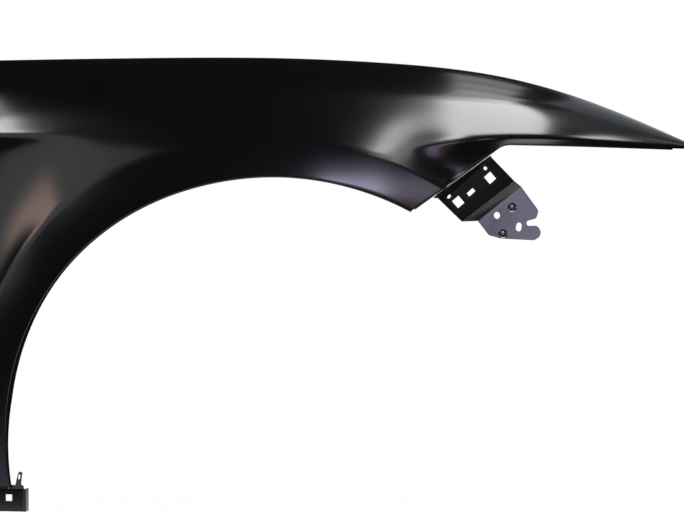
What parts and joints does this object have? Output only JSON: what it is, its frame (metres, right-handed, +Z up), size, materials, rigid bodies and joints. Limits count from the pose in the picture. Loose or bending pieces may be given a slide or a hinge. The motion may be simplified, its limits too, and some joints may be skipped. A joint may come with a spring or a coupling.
{
  "type": "car fender",
  "caption": "Right-hand front car fender: stamped steel skin with a wheel arch, a shoulder that runs out to a pointed tip, return flanges and welded mounting brackets.",
  "frame": {"origin": "On the underside of the bolt pad of the hood-side flange above the wheel, midway across the pad and just behind its slot", "axes": "+X to the front of the car, +Y inboard, +Z up; the painted face looks to -Y"},
  "size_m": [1.2418, 0.2649, 0.6525],
  "materials": {
    "fender_panel_coat": "semi-gloss black primer coat on stamped steel",
    "front_bracket_coat": "semi-gloss black primer coat on folded steel",
    "lower_bracket_coat": "semi-gloss black primer coat on folded steel"
  },
  "bodies": {
    "root": {"fender_panel": "fender_panel_coat", "front_bracket": "front_bracket_coat", "lower_bracket": "lower_bracket_coat"}
  },
  "joints": []
}
